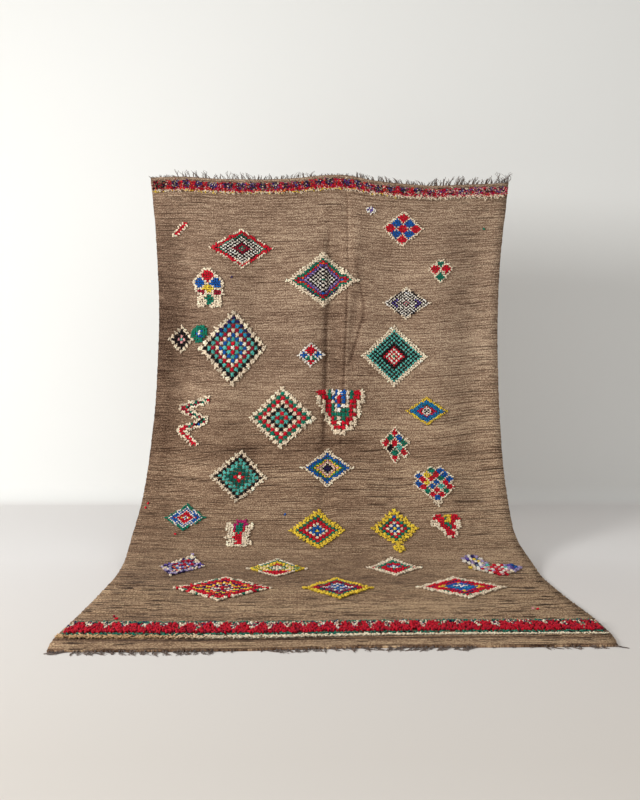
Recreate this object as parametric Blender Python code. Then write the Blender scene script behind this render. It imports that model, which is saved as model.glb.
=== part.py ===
"""Hand-knotted wool rug in a traditional Berber style, held up by its top edge.

The rug hangs straight down, sweeps forward in one soft bend and ends flat on the
floor. Everything is drawn flat first, in rug measure: `across` runs from -0.825 m
at the left side to +0.825 m at the right, and `down` from 0 at the top edge to
2.91 m at the foot. One function then hangs each piece in its place.
"""

import math
import random

import bmesh
import bpy
import numpy as np
from mathutils import Vector, noise

# Driving sizes, in metres
RUG_WIDTH = 1.65
RUG_LENGTH = 2.91
CLOTH_THICKNESS = 0.006
HANG_LENGTH = 1.16
BEND_LENGTH = 0.944
BEND_POWER = 1.45
MIDDLE_X = 0.0066
TOP_EDGE_Y = 0.7597

# Pile, borders and fringes
PILE_THICKNESS = 0.007
PILE_UNEVENNESS = 0.0012
PILE_RIM_SLOPE = 0.004
SEAT_GAP = 0.0005
STRIP_GAP = 0.0005
FRINGE_STRIP_DEPTH = 0.009
FRINGE_THICKNESS = 0.004

# The cloth's facets: how many columns and rows each stretch gets
COLUMN_STRETCHES = (
    # from, to, columns
    (-RUG_WIDTH / 2, -0.05, 10),
    (-0.05, 0.115, 9),
    (0.115, RUG_WIDTH / 2, 10),
)
ROW_STRETCHES = (
    (0.0, HANG_LENGTH, 11),
    (HANG_LENGTH, HANG_LENGTH + BEND_LENGTH, 12),
    (HANG_LENGTH + BEND_LENGTH, RUG_LENGTH, 7),
)

# Points of a flat patch closer than this many cells are one point
NEAR_IN_CELLS = 0.0001

# Width between the side edges, and how far the middle drifts, going down the rug
WIDTHS = (
    # down, width, drift
    (0.00, 1.649, 0.000),
    (0.11, 1.624, 0.000),
    (0.36, 1.580, -0.004),
    (0.58, 1.562, -0.005),
    (0.80, 1.566, -0.008),
    (1.03, 1.587, -0.011),
    (1.22, 1.619, -0.016),
    (1.45, 1.642, -0.021),
    (1.67, 1.653, -0.027),
    (1.86, 1.665, -0.012),
    (2.08, 1.655, -0.010),
    (2.35, 1.657, -0.004),
    (2.60, 1.672, 0.003),
    (2.82, 1.668, 0.000),
    (2.91, 1.645, 0.000),
)

# The top edge rises where it is held and sags between
TOP_EDGE = (
    # across, rise
    (-0.825, 0.036),
    (-0.680, 0.041),
    (-0.520, 0.031),
    (-0.400, 0.028),
    (-0.140, 0.035),
    (-0.030, 0.047),
    (0.080, 0.047),
    (0.200, 0.024),
    (0.360, 0.006),
    (0.470, -0.001),
    (0.620, 0.004),
    (0.825, 0.011),
)
TOP_EDGE_FADE = 0.45

# The foot lies a little askew and bows forward at the left
FOOT_EDGE = (
    # across, reach beyond the straight foot
    (-0.825, 0.022),
    (-0.260, 0.024),
    (0.170, 0.000),
    (0.500, -0.008),
    (0.825, -0.012),
)
FOOT_EDGE_FADE = 0.85

# The plain strip past the loops is woven shorter in its middle and at the right
FOOT_TRIM = (
    # across, shortening
    (-0.825, 0.010),
    (-0.500, 0.016),
    (-0.200, 0.025),
    (0.050, 0.028),
    (0.400, 0.024),
    (0.825, 0.026),
)
TRIM_START = 2.81

# Creases and swells: depth is into the rug, squareness 2 is a soft trough
FOLDS = (
    # across0, down0, across1, down1, half width, depth, squareness
    (0.027, 0.26, 0.020, 1.10, 0.044, 0.022, 6),
    (0.018, 1.02, 0.000, 1.62, 0.036, 0.013, 4),
    (0.070, 0.04, 0.100, 0.42, 0.018, 0.007, 2),
    (0.150, 0.50, 0.105, 0.84, 0.030, 0.012, 2),
    (-0.105, 0.30, -0.110, 1.35, 0.055, -0.012, 2),
    (0.125, 0.26, 0.115, 0.52, 0.028, -0.010, 2),
    (-0.715, 0.16, -0.700, 1.40, 0.075, 0.026, 2),
    (-0.530, 0.22, -0.510, 1.50, 0.100, -0.016, 2),
    (-0.330, 0.20, -0.330, 1.45, 0.085, 0.018, 2),
    (0.310, 0.20, 0.300, 1.45, 0.100, 0.016, 2),
    (0.520, 0.22, 0.520, 1.50, 0.090, -0.018, 2),
    (0.715, 0.16, 0.710, 1.45, 0.070, 0.026, 2),
)
FOLD_END_FADE = 0.22

# Outlines of the knotted figures, drawn in a box from -1 to 1, y upwards
OUTLINES = {
    "diamond": ((0.07, 1.0), (0.55, 0.55), (1.0, 0.07), (1.0, -0.07), (0.55, -0.55), (0.07, -1.0),
                (-0.07, -1.0), (-0.55, -0.55), (-1.0, -0.07), (-1.0, 0.07), (-0.55, 0.55), (-0.07, 1.0)),
    "small_diamond": ((0.2, 1.0), (1.0, 0.2), (1.0, -0.2), (0.2, -1.0),
                      (-0.2, -1.0), (-1.0, -0.2), (-1.0, 0.2), (-0.2, 1.0)),
    "oval": ((0.4, 1.0), (1.0, 0.35), (0.9, -0.5), (0.35, -1.0), (-0.4, -0.95), (-1.0, -0.35),
             (-0.95, 0.4), (-0.35, 0.95)),
    "slash": ((0.45, 1.0), (1.0, 0.8), (0.3, -0.6), (-0.45, -1.0), (-1.0, -0.8), (-0.3, 0.55)),
    "zigzag": ((1.0, 1.0), (1.0, 0.74), (-0.1, 0.6), (0.95, 0.26), (0.95, 0.02), (-0.2, -0.2),
               (0.6, -0.72), (0.5, -1.0), (0.1, -0.92), (-1.0, -0.4), (-1.0, -0.16), (0.1, 0.14),
               (-0.95, 0.44), (-0.95, 0.7)),
    "shield": ((-0.5, 1.0), (0.5, 1.0), (1.0, 0.45), (0.55, -0.33), (0.1, -1.0), (-0.1, -1.0),
               (-0.55, -0.33), (-1.0, 0.45)),
    "fan": ((0.35, 1.0), (0.9, 0.65), (1.0, 0.1), (0.12, -1.0), (-0.12, -1.0), (-1.0, 0.1),
            (-0.9, 0.65), (-0.35, 1.0)),
    "hourglass": ((1.0, 1.0), (0.28, 0.05), (0.95, -0.8), (0.5, -1.0), (-0.5, -1.0), (-0.95, -0.8),
                  (-0.28, 0.05), (-1.0, 1.0)),
    "leaning": ((-0.2, 1.0), (1.0, 0.75), (0.85, -0.1), (0.3, -1.0), (-0.8, -0.95), (-1.0, 0.1)),
    "tailed": ((0.35, 1.0), (0.95, 0.55), (1.0, 0.1), (0.15, -1.0), (-0.1, -1.0), (-0.95, -0.05),
               (-1.0, 0.4), (-0.4, 0.95)),
}

# Outlines that turn inwards are drawn in parts that don't, by the numbers of their points
OUTLINE_PARTS = {
    "zigzag": ((0, 1, 2, 13), (13, 2, 11, 12), (2, 3, 4, 11), (11, 4, 5, 10), (10, 5, 8, 9), (5, 6, 7, 8)),
    "hourglass": ((0, 1, 6, 7), (1, 2, 3, 4, 5, 6)),
}

# The knotted figures, from the top of the rug to its foot
MOTIFS = (
    # name, across, down, half width, half height, outline, colour
    ("slash_upper_left", -0.710, 0.224, 0.038, 0.030, "slash", "cream"),
    ("diamond_upper_left", -0.417, 0.304, 0.154, 0.086, "diamond", "red"),
    ("five_blobs_upper_right", 0.349, 0.203, 0.094, 0.074, "oval", "blue"),
    ("speck_upper_right", 0.194, 0.133, 0.023, 0.018, "small_diamond", "purple"),
    ("diamond_upper_middle", -0.030, 0.450, 0.175, 0.119, "diamond", "red"),
    ("lantern_left", -0.581, 0.482, 0.072, 0.086, "small_diamond", "blue"),
    ("clover_right", 0.536, 0.399, 0.054, 0.053, "small_diamond", "green"),
    ("diamond_purple_right", 0.380, 0.543, 0.114, 0.073, "diamond", "purple"),
    ("patch_dark_left", -0.716, 0.714, 0.062, 0.058, "small_diamond", "black"),
    ("patch_green_left", -0.618, 0.688, 0.032, 0.034, "oval", "green"),
    ("diamond_blue_left", -0.462, 0.752, 0.150, 0.165, "diamond", "blue"),
    ("diamond_middle_small", -0.083, 0.784, 0.059, 0.052, "small_diamond", "red"),
    ("diamond_teal_right", 0.323, 0.787, 0.157, 0.138, "diamond", "teal"),
    ("zigzag_left", -0.638, 1.082, 0.073, 0.110, "zigzag", "red"),
    ("diamond_green_left", -0.214, 1.069, 0.153, 0.135, "diamond", "green"),
    ("shield_middle", 0.063, 1.044, 0.110, 0.096, "shield", "blue"),
    ("diamond_yellow_right", 0.476, 1.038, 0.097, 0.064, "small_diamond", "yellow"),
    ("patch_right", 0.324, 1.195, 0.067, 0.082, "diamond", "green"),
    ("diamond_teal_left", -0.400, 1.345, 0.125, 0.121, "diamond", "teal"),
    ("diamond_blue_middle", 0.008, 1.302, 0.122, 0.088, "diamond", "blue"),
    ("fan_right", 0.506, 1.398, 0.100, 0.100, "fan", "red"),
    ("lozenge_green_left", -0.612, 1.558, 0.090, 0.075, "diamond", "green"),
    ("hourglass_left", -0.367, 1.659, 0.056, 0.083, "hourglass", "red"),
    ("diamond_yellow_middle", -0.029, 1.634, 0.117, 0.124, "diamond", "yellow"),
    ("diamond_tailed_right", 0.308, 1.649, 0.097, 0.138, "tailed", "yellow"),
    ("heart_right", 0.533, 1.612, 0.063, 0.067, "shield", "red"),
    ("leaning_patch_left", -0.582, 1.922, 0.086, 0.116, "leaning", "purple"),
    ("lozenge_low_left", -0.203, 1.950, 0.118, 0.101, "small_diamond", "green"),
    ("lozenge_low_right", 0.261, 1.938, 0.107, 0.098, "small_diamond", "green"),
    ("patch_far_right", 0.656, 1.926, 0.107, 0.104, "leaning", "blue"),
    ("diamond_floor_left", -0.392, 2.230, 0.179, 0.163, "diamond", "red"),
    ("diamond_floor_middle", 0.029, 2.226, 0.127, 0.144, "diamond", "yellow"),
    ("diamond_floor_right", 0.481, 2.220, 0.162, 0.153, "diamond", "blue"),
)

# Bands of pile that run from side to side
BANDS = (
    # name, down from, down to, margin at each side, thickness, colour
    ("top_border", 0.012, 0.060, 0.006, 0.010, "brick"),
    ("foot_border", 2.640, 2.762, 0.010, 0.009, "red"),
    ("foot_cream_row", 2.770, 2.804, 0.010, 0.009, "cream"),
)

# Warp ends left as a fringe: pitch along the edge, length, root width, sway, steps
FRINGES = {
    "top_fringe": {"pitch": 0.021, "length": 0.040, "root": 0.0045, "sway": 0.008, "steps": 2},
    "foot_fringe": {"pitch": 0.018, "length": 0.034, "root": 0.0040, "sway": 0.004, "steps": 2},
}

# Colours of the wool, linear red, green, blue
WOOL = {
    "taupe": (0.27, 0.20, 0.145),
    "cream": (0.72, 0.62, 0.48),
    "red": (0.42, 0.055, 0.05),
    "brick": (0.22, 0.07, 0.05),
    "teal": (0.10, 0.22, 0.24),
    "green": (0.14, 0.24, 0.12),
    "yellow": (0.62, 0.42, 0.12),
    "blue": (0.10, 0.15, 0.30),
    "purple": (0.16, 0.09, 0.17),
    "black": (0.035, 0.03, 0.03),
    "dark_brown": (0.07, 0.045, 0.03),
}
WOOL_ROUGHNESS = 0.95


def smoothstep(value):
    """Ease from 0 to 1 as the value goes from 0 to 1."""
    t = min(1.0, max(0.0, value))
    return t * t * (3 - 2 * t)


def smooth_table(place, places, values):
    """Read a table with a smooth curve through its rows."""
    slopes = np.gradient(values, places)
    row = int(np.clip(np.searchsorted(places, place) - 1, 0, len(places) - 2))
    span = places[row + 1] - places[row]
    t = min(1.0, max(0.0, (place - places[row]) / span))
    rise = values[row] * (1 + 2 * t) * (1 - t) ** 2 + values[row + 1] * t * t * (3 - 2 * t)
    return rise + span * (slopes[row] * t * (1 - t) ** 2 + slopes[row + 1] * t * t * (t - 1))


def side_profile():
    """Trace the rug from the side: height and forward reach at each millimetre."""
    down = np.arange(0.0, RUG_LENGTH + 0.002, 0.001)
    through_bend = np.clip((down - HANG_LENGTH) / BEND_LENGTH, 0.0, 1.0)
    lean = math.pi / 2 * (1 - through_bend) ** BEND_POWER
    middle = (lean[1:] + lean[:-1]) / 2
    reach = np.concatenate(([0.0], np.cumsum(np.cos(middle)) * 0.001))
    drop = np.concatenate(([0.0], np.cumsum(np.sin(middle)) * 0.001))
    height = drop[-1] - drop + CLOTH_THICKNESS / 2
    return down, lean, reach, height


DOWN, LEAN, REACH, HEIGHT = side_profile()
WIDTH_TABLE = np.array(WIDTHS).T
TOP_TABLE = np.array(TOP_EDGE).T
FOOT_TABLE = np.array(FOOT_EDGE).T
TRIM_TABLE = np.array(FOOT_TRIM).T


def fold_depth(across, down):
    """Add up the creases and swells at one place on the rug."""
    depth = 0.0
    for across0, down0, across1, down1, half_width, deep, squareness in FOLDS:
        along = (down - down0) / (down1 - down0)
        sideways = abs(across - across0 - (across1 - across0) * along) / half_width
        from_ends = min(down - down0, down1 - down)
        fade = smoothstep(from_ends / FOLD_END_FADE + 0.5)
        depth += deep * fade * math.exp(-sideways ** squareness)
    return depth


def middle_of_cloth(across, down):
    """Place one point of the cloth's middle layer in the hung rug."""
    lean = np.interp(down, DOWN, LEAN)
    width = smooth_table(down, WIDTH_TABLE[0], WIDTH_TABLE[1])
    drift = smooth_table(down, WIDTH_TABLE[0], WIDTH_TABLE[2])
    rise = smooth_table(across, TOP_TABLE[0], TOP_TABLE[1]) * math.exp(-max(down, 0) / TOP_EDGE_FADE)
    rise *= smoothstep((HANG_LENGTH - down) / HANG_LENGTH * 2)
    depth = fold_depth(across, down)
    x = MIDDLE_X + drift + across * width / RUG_WIDTH
    askew = smooth_table(across, FOOT_TABLE[0], FOOT_TABLE[1])
    askew *= smoothstep(1 - (RUG_LENGTH - down) / FOOT_EDGE_FADE)
    trim = smooth_table(across, TRIM_TABLE[0], TRIM_TABLE[1])
    trim *= smoothstep((down - TRIM_START) / (RUG_LENGTH - TRIM_START))
    y = TOP_EDGE_Y - np.interp(down, DOWN, REACH) - askew + trim + depth * math.sin(lean)
    z = np.interp(down, DOWN, HEIGHT) + rise - depth * math.cos(lean)
    return Vector((x, y, z))


def face_direction(across, down):
    """Find the way the cloth's face points, from two short steps on it."""
    step = 0.004
    sideways = middle_of_cloth(across + step, down) - middle_of_cloth(across - step, down)
    onward = middle_of_cloth(across, down + step) - middle_of_cloth(across, down - step)
    return onward.cross(sideways).normalized()


def stretch_marks(stretches):
    """Lay out the facet lines of one direction."""
    marks = [stretches[0][0]]
    for start, end, count in stretches:
        marks += [start + (end - start) * (k + 1) / count for k in range(count)]
    return np.array(marks)


COLUMNS = stretch_marks(COLUMN_STRETCHES)
ROWS = stretch_marks(ROW_STRETCHES)
CORNERS = [[middle_of_cloth(a, d) for d in ROWS] for a in COLUMNS]
DIRECTIONS = [[face_direction(a, d) for d in ROWS] for a in COLUMNS]


def to_cells(across, down):
    """Turn rug measure into counts of columns and rows, going on past the edges."""
    column = np.interp(across, COLUMNS, np.arange(len(COLUMNS)))
    row = np.interp(down, ROWS, np.arange(len(ROWS)))
    if down < 0:
        row = down / (ROWS[1] - ROWS[0])
    if down > RUG_LENGTH:
        row = len(ROWS) - 1 + (down - RUG_LENGTH) / (ROWS[-1] - ROWS[-2])
    return Vector((column, row, 0.0))


def hang(cell, lift):
    """Place a point given in cells on the cloth's flat facets, lifted off its middle layer."""
    column = int(min(max(cell.x, 0), len(COLUMNS) - 2))
    row = int(min(max(cell.y, 0), len(ROWS) - 2))
    a = cell.x - column
    b = cell.y - row
    if a >= b:
        shares = ((0, 0, 1 - a), (1, 0, a - b), (1, 1, b))
    else:
        shares = ((0, 0, 1 - b), (0, 1, b - a), (1, 1, a))
    place = Vector((0.0, 0.0, 0.0))
    for right, below, share in shares:
        corner = CORNERS[column + right][row + below]
        place += share * (corner + lift * DIRECTIONS[column + right][row + below])
    return place


def cut_along(bm, point, normal):
    """Cut every face of the flat mesh along one line."""
    geometry = bm.verts[:] + bm.edges[:] + bm.faces[:]
    bmesh.ops.bisect_plane(bm, geom=geometry, dist=NEAR_IN_CELLS, plane_co=point, plane_no=normal)


def outline_in_cells(points):
    """Turn an outline into cells, with a point wherever it crosses into another stretch."""
    corners = []
    borders = [(0, start) for start, end, count in COLUMN_STRETCHES[1:]]
    borders += [(1, start) for start, end, count in ROW_STRETCHES[1:]]
    for k, point in enumerate(points):
        after = points[(k + 1) % len(points)]
        crossings = []
        for axis, border in borders:
            if (point[axis] - border) * (after[axis] - border) < 0:
                crossings.append((border - point[axis]) / (after[axis] - point[axis]))
        corners.append(to_cells(*point))
        for share in sorted(crossings):
            corners.append(to_cells(*[point[axis] + share * (after[axis] - point[axis]) for axis in (0, 1)]))
    return corners


def flat_patch(parts, diagonals=True):
    """Draw a figure's parts in cells and cut them along the cloth's facets."""
    bm = bmesh.new()
    for outline in parts:
        bm.faces.new([bm.verts.new(point) for point in outline])
    bmesh.ops.remove_doubles(bm, verts=bm.verts[:], dist=NEAR_IN_CELLS)
    left = min(vert.co.x for vert in bm.verts)
    right = max(vert.co.x for vert in bm.verts)
    top = min(vert.co.y for vert in bm.verts)
    bottom = max(vert.co.y for vert in bm.verts)
    for column in range(math.ceil(left), math.ceil(right)):
        cut_along(bm, (column, 0, 0), (1, 0, 0))
    for row in range(math.ceil(top), math.ceil(bottom)):
        cut_along(bm, (0, row, 0), (0, 1, 0))
    if diagonals:
        for step in range(math.ceil(left - bottom), math.ceil(right - top)):
            cut_along(bm, (step, 0, 0), (1, -1, 0))
    bmesh.ops.remove_doubles(bm, verts=bm.verts[:], dist=NEAR_IN_CELLS)
    return bm


def thicken(bm):
    """Raise a flat patch into a closed slab and return the verts of its upper side."""
    made = bmesh.ops.extrude_face_region(bm, geom=bm.faces[:])
    return [item for item in made["geom"] if isinstance(item, bmesh.types.BMVert)]


def finish(bm, name, colour):
    """Turn a closed bmesh into a named object with its own wool material."""
    bmesh.ops.triangulate(bm, faces=[face for face in bm.faces if len(face.verts) > 4])
    bmesh.ops.recalc_face_normals(bm, faces=bm.faces[:])
    mesh = bpy.data.meshes.new(name)
    bm.to_mesh(mesh)
    bm.free()
    obj = bpy.data.objects.new(name, mesh)
    bpy.context.collection.objects.link(obj)
    material = bpy.data.materials.new(name + "_wool")
    material.use_nodes = True
    shader = material.node_tree.nodes["Principled BSDF"]
    shader.inputs["Base Color"].default_value = (*WOOL[colour], 1.0)
    shader.inputs["Roughness"].default_value = WOOL_ROUGHNESS
    shader.inputs["Metallic"].default_value = 0.0
    mesh.materials.append(material)
    return obj


def build_cloth():
    """Weave the ground: one sheet with its selvedges, thick enough to stand for its ribs."""
    last_column = len(COLUMNS) - 1
    last_row = len(ROWS) - 1
    corners = ((0, 0), (last_column, 0), (last_column, last_row), (0, last_row))
    bm = flat_patch([[Vector((x, y, 0)) for x, y in corners]])
    face_side = set(thicken(bm))
    for vert in bm.verts:
        lift = CLOTH_THICKNESS / 2 if vert in face_side else -CLOTH_THICKNESS / 2
        vert.co = hang(vert.co, lift)
    finish(bm, "ground_cloth", "taupe")


def build_pile(name, parts, centre, half_size, thickness, colour):
    """Raise a patch of pile: a low uneven slab whose rim slopes in at the top."""
    bm = flat_patch([outline_in_cells(part) for part in parts])
    upper_side = set(thicken(bm))
    floor_level = CLOTH_THICKNESS / 2 + SEAT_GAP
    shrink_across = 1 - PILE_RIM_SLOPE / half_size[0]
    shrink_down = 1 - PILE_RIM_SLOPE / half_size[1]
    for vert in bm.verts:
        if vert not in upper_side:
            vert.co = hang(vert.co, floor_level)
            continue
        across = np.interp(vert.co.x, np.arange(len(COLUMNS)), COLUMNS)
        down = np.interp(vert.co.y, np.arange(len(ROWS)), ROWS)
        across = centre[0] + (across - centre[0]) * shrink_across
        down = centre[1] + (down - centre[1]) * shrink_down
        lump = PILE_UNEVENNESS * noise.noise(Vector((across * 40, down * 40, 0.0)))
        vert.co = hang(to_cells(across, down), floor_level + thickness + lump)
    finish(bm, name, colour)


def build_motif(name, across, down, half_width, half_height, outline, colour):
    """Place one knotted figure by its outline."""
    points = [(across + x * half_width, down - y * half_height) for x, y in OUTLINES[outline]]
    whole = (range(len(points)),)
    parts = [[points[k] for k in part] for part in OUTLINE_PARTS.get(outline, whole)]
    build_pile(name, parts, (across, down), (half_width, half_height), PILE_THICKNESS, colour)


def build_band(name, start, end, margin, thickness, colour):
    """Lay one band of pile from side to side."""
    half = RUG_WIDTH / 2 - margin
    points = ((-half, start), (half, start), (half, end), (-half, end))
    centre = (0.0, (start + end) / 2)
    build_pile(name, [points], centre, (half, (end - start) / 2), thickness, colour)


def strand_places(pitch, root, rng):
    """Set the strands along an edge, clear of the facet lines."""
    places = []
    for left, right in zip(COLUMNS[:-1], COLUMNS[1:]):
        count = max(1, round((right - left) / pitch))
        share = (right - left) / count
        room = (share - root) / 2 - 0.0015
        for k in range(count):
            middle = left + share * (k + 0.5)
            places.append(middle + room * rng.uniform(-0.9, 0.9))
    return places


def grow_strand(bm, root, path, shrink, level):
    """Draw one strand out of its root face, step by step."""
    face = root
    for offset in path:
        face = bmesh.ops.extrude_discrete_faces(bm, faces=[face])["faces"][0]
        centre = face.calc_center_median()
        if level:
            centre.z = min(vert.co.z for vert in face.verts)
        for vert in face.verts:
            vert.co = centre + offset + (vert.co - centre) * shrink


def build_fringe(name, seed, start, end, onward, level, colour):
    """Make a fringe: a narrow strip parted from the cloth's edge, with strands fused to it."""
    sizes = FRINGES[name]
    rng = random.Random(seed)
    half = RUG_WIDTH / 2
    places = strand_places(sizes["pitch"], sizes["root"], rng)
    outer_edge = []
    for place in places:
        outer_edge += [place - sizes["root"] / 2, place + sizes["root"] / 2]
    outline = [(half, start), (-half, start), (-half, end)]
    outline += [(across, end) for across in outer_edge]
    outline.append((half, end))
    bm = flat_patch([[to_cells(across, down) for across, down in outline]], diagonals=False)
    root_cells = [to_cells(place, end) for place in places]
    upper_side = set(thicken(bm))
    bm.faces.ensure_lookup_table()
    roots = []
    for cell in root_cells:
        walls = [face for face in bm.faces if abs(face.normal.z) < 0.5 or face.calc_area() < 1e-9]
        walls = [face for face in walls if all(abs(vert.co.y - cell.y) < 1e-5 for vert in face.verts)]
        roots.append(min(walls, key=lambda face: abs(face.calc_center_median().x - cell.x)))
    for vert in bm.verts:
        lift = FRINGE_THICKNESS - CLOTH_THICKNESS / 2 if vert in upper_side else -CLOTH_THICKNESS / 2
        vert.co = hang(vert.co, lift)
    for root in roots:
        length = sizes["length"] * rng.uniform(0.55, 1.3)
        lean = rng.uniform(-1.0, 1.0) * sizes["sway"]
        curl = rng.uniform(-1.0, 1.0) * sizes["sway"]
        path = []
        for step in range(sizes["steps"]):
            turn = math.sin((step + 1) * 1.7 + curl * 300)
            sideways = Vector((lean * (step + 1) / sizes["steps"] * 0.6 + curl * turn * 0.4, 0, 0))
            wave = Vector((0, 0, 0)) if level else Vector((0, curl * turn * 0.6, 0))
            path.append(onward * (length / sizes["steps"]) + sideways + wave)
        grow_strand(bm, root, path, 0.82, level)
    finish(bm, name, colour)


def build_rug():
    """Build the whole rug."""
    build_cloth()
    for motif in MOTIFS:
        build_motif(*motif)
    for band in BANDS:
        build_band(*band)
    up = Vector((0, 0, 1))
    forward = Vector((0, -1, 0))
    foot = RUG_LENGTH + STRIP_GAP
    build_fringe("top_fringe", 7, -STRIP_GAP, -STRIP_GAP - FRINGE_STRIP_DEPTH, up, False, "dark_brown")
    build_fringe("foot_fringe", 11, foot, foot + FRINGE_STRIP_DEPTH, forward, True, "dark_brown")


for old in list(bpy.data.objects):
    bpy.data.objects.remove(old, do_unlink=True)
build_rug()
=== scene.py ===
import math

import bmesh
import bpy
import numpy as np
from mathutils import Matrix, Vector


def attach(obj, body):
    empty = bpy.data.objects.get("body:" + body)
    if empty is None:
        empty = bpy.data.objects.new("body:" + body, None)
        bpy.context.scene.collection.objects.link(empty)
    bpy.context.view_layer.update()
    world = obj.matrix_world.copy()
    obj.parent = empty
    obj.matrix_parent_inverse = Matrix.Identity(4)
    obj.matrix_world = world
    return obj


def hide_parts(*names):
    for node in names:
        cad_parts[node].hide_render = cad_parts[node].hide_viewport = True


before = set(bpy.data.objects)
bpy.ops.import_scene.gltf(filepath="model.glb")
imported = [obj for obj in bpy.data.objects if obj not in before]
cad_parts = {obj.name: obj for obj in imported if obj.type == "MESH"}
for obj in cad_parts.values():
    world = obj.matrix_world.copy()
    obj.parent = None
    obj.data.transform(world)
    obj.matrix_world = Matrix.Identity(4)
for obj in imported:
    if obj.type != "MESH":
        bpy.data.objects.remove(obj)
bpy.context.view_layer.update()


# Ground cloth: one thick sheet of heathered grey-brown wool, woven by hand in weft-faced rows.
# It is drawn flat in rug measure, across and down, then hung: straight down from its top
# edge, forward in one soft bend, and flat on the floor to its foot.
RUG_WIDTH = 1.65
RUG_LENGTH = 2.91
CLOTH_THICKNESS = 0.006
HANG_LENGTH = 1.16
BEND_LENGTH = 0.944
BEND_POWER = 1.45
MIDDLE_X = 0.0066
TOP_EDGE_Y = 0.7597
WIDTHS = np.array((
    # down, width, drift of the middle
    (0.00, 1.649, 0.000), (0.11, 1.624, 0.000), (0.36, 1.580, -0.004), (0.58, 1.562, -0.005),
    (0.80, 1.566, -0.008), (1.03, 1.587, -0.011), (1.22, 1.619, -0.016), (1.45, 1.642, -0.021),
    (1.67, 1.653, -0.027), (1.86, 1.665, -0.012), (2.08, 1.655, -0.010), (2.35, 1.657, -0.004),
    (2.60, 1.672, 0.003), (2.82, 1.668, 0.000), (2.91, 1.645, 0.000),
))
TOP_EDGE = np.array((
    # across, rise
    (-0.825, 0.036), (-0.680, 0.041), (-0.520, 0.031), (-0.400, 0.028), (-0.140, 0.035),
    (-0.030, 0.047), (0.080, 0.047), (0.200, 0.024), (0.360, 0.006), (0.470, -0.001),
    (0.620, 0.004), (0.825, 0.011),
))
TOP_EDGE_FADE = 0.45
FOOT_EDGE = np.array((
    # across, reach beyond the straight foot
    (-0.825, 0.022), (-0.260, 0.024), (0.170, 0.000), (0.500, -0.008), (0.825, -0.012),
))
FOOT_EDGE_FADE = 0.85
FOOT_TRIM = np.array((
    # across, shortening of the plain strip past the foot loops
    (-0.825, 0.010), (-0.500, 0.016), (-0.200, 0.025), (0.050, 0.028), (0.400, 0.024), (0.825, 0.026),
))
TRIM_START = 2.81
FOLDS = (
    # across0, down0, across1, down1, half width, depth, squareness
    (0.027, 0.26, 0.020, 1.10, 0.044, 0.022, 6),
    (0.018, 1.02, 0.000, 1.62, 0.036, 0.013, 4),
    (0.070, 0.04, 0.100, 0.42, 0.018, 0.007, 2),
    (0.150, 0.50, 0.105, 0.84, 0.030, 0.012, 2),
    (-0.105, 0.30, -0.110, 1.35, 0.055, -0.012, 2),
    (0.125, 0.26, 0.115, 0.52, 0.028, -0.010, 2),
    (-0.715, 0.16, -0.700, 1.40, 0.075, 0.026, 2),
    (-0.530, 0.22, -0.510, 1.50, 0.100, -0.016, 2),
    (-0.330, 0.20, -0.330, 1.45, 0.085, 0.018, 2),
    (0.310, 0.20, 0.300, 1.45, 0.100, 0.016, 2),
    (0.520, 0.22, 0.520, 1.50, 0.090, -0.018, 2),
    (0.715, 0.16, 0.710, 1.45, 0.070, 0.026, 2),
)
FOLD_END_FADE = 0.22
ROW_PITCH = 0.0120
ROW_HEIGHT = 0.0013
POINTS_A_ROW = 4
ROW_WANDER = 0.9
ROW_RIPPLE = 0.35
ROW_STRENGTH = (0.45, 1.1)
GAP_DEPTH = 0.0028
SLIT_PITCH = 0.040
SLIT_WIDTH = 0.0032
SLIT_DEPTH = 0.0032
FLOOR_WIDENING = 0.35
LIP_SHARE = 0.7
LIP_PLACE = 0.008
LIP_WIDTH = 0.005
# How many rows part into gaps and slits: at first, at the sides, and by where it starts to grow
# going down, over how much and by how much
GAP_SHARE = 0.14
GAP_SIDES = 0.12
GAP_GROWTH = ((0.9, 0.5, 0.22), (2.05, 0.4, 0.20))
SLIT_SHARE = 0.07
SLIT_SIDES = 0.12
SLIT_GROWTH = ((1.0, 0.5, 0.23), (2.0, 0.3, 0.20))
ROW_DRIFT = (
    # across from, to, rise of the rows at the edge, down at which the drift starts and ends
    (-0.46, -0.825, 0.034, 0.12, 2.40), (0.42, 0.825, 0.028, 0.12, 2.10),
)
SELVEDGE_WOBBLE = 0.0022
FOOT_HEM = 2.892
# Painted shade and painted light in patches, together with the wool's own slow changes of tone: painted
# shade down the left edge, painted light over the right side and along the right edge, and two thin lines of
# painted shadow under the foot loops.
TONE_AND_SHADE_PATCHES = (
    # across, down, half width, half height, change of tone
    (-0.86, 0.78, 0.14, 0.62, -0.36), (-0.70, 0.70, 0.22, 0.16, -0.10), (0.84, 0.90, 0.12, 1.00, 0.03),
    (0.70, 1.00, 0.36, 1.20, 0.085), (0.00, 2.45, 3.00, 0.36, 0.10), (0.62, 1.90, 0.25, 0.25, 0.05),
    (0.75, 1.60, 0.25, 0.45, 0.05), (0.00, 2.87, 3.00, 0.07, 0.12),
    (-0.40, 2.806, 0.90, 0.006, -0.45), (0.30, 2.806, 0.90, 0.005, -0.30),
    (0.06, 1.00, 0.09, 0.60, -0.13), (-0.10, 0.30, 0.16, 0.40, 0.05), (0.55, 0.72, 0.40, 0.06, 0.06),
    (0.10, 1.22, 1.20, 0.05, -0.07), (-0.20, 2.05, 1.20, 0.10, -0.06), (0.10, 2.45, 1.20, 0.08, 0.07),
)
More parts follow.
